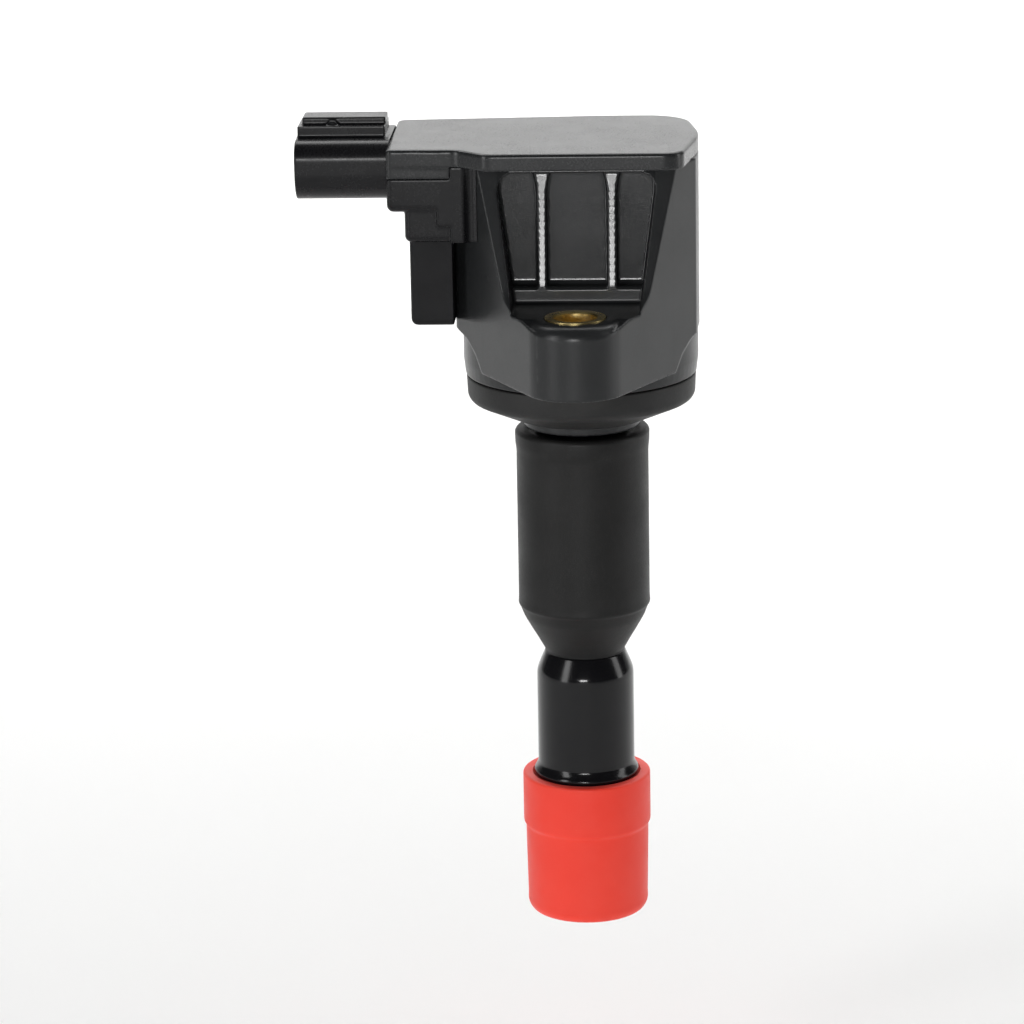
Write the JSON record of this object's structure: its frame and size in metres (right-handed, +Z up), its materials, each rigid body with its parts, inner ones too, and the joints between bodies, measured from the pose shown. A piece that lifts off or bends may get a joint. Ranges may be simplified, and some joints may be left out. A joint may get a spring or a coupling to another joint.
{
  "type": "ignition coil",
  "caption": "Plug-top ignition coil: dark moulded head with side connector and bolt ear, well seal, long stem and red silicone plug boot with a sprung contact.",
  "frame": {"origin": "centre of the boot's open mouth, on the axis of the stem", "axes": "+Z up the stem to the head, the connector points along -X, the bolt ear points along -Y"},
  "size_m": [0.0658, 0.0515, 0.1366],
  "materials": {
    "housing_plastic": "satin, fine spark-eroded texture",
    "cover_plastic": "satin",
    "connector_plastic": "gloss",
    "dark_plastic": "matte",
    "sleeve_rubber": "matte",
    "tube_plastic": "gloss",
    "boot_silicone": "satin silicone",
    "seal_rubber": "matte",
    "brass": "machined",
    "tinned_copper": "tin plated",
    "core_steel": "laminated sheet edges",
    "magnet": "ground",
    "bobbin_plastic": "moulded",
    "copper_wire": "enamelled",
    "epoxy": "cast",
    "silicone_pad": "matte",
    "aluminium": "stamped",
    "spring_steel": "drawn wire",
    "resistor_body": "glazed"
  },
  "bodies": {
    "coil": {"housing": "housing_plastic", "top_cover": "cover_plastic", "connector_housing": "connector_plastic", "igniter_cover": "dark_plastic", "igniter_heatsink": "aluminium", "igniter_module": "epoxy", "centre_core": "core_steel", "core_magnet": "magnet", "outer_core": "core_steel", "core_buffer": "silicone_pad", "hv_diode": "epoxy", "hv_lead": "tinned_copper", "primary_leads": "copper_wire", "bolt_bush": "brass", "seal_ring": "seal_rubber", "stem_sleeve": "sleeve_rubber", "lower_tube": "tube_plastic", "contact_spring": "spring_steel", "suppression_resistor": "resistor_body", "hv_terminal": "brass", "terminal_ground": "tinned_copper", "terminal_signal": "tinned_copper", "terminal_power": "tinned_copper", "primary_bobbin": "bobbin_plastic", "primary_winding": "copper_wire", "secondary_bobbin": "bobbin_plastic", "secondary_winding": "copper_wire", "potting": "epoxy"},
    "contact": {"contact_cap": "brass"},
    "boot": {"plug_boot": "boot_silicone"}
  },
  "joints": [
    {"name": "contact_slide", "type": "slide", "parent": "coil", "child": "contact", "axis": [0, 0, 1], "range_m": [0, 0.005], "stiffness_N_per_m": 300, "springref_m": -0.008, "deforming": ["contact_spring"]},
    {"name": "boot_pull", "type": "slide", "parent": "coil", "child": "boot", "axis": [0, 0, -1], "range_m": [0, 0.03]}
  ]
}
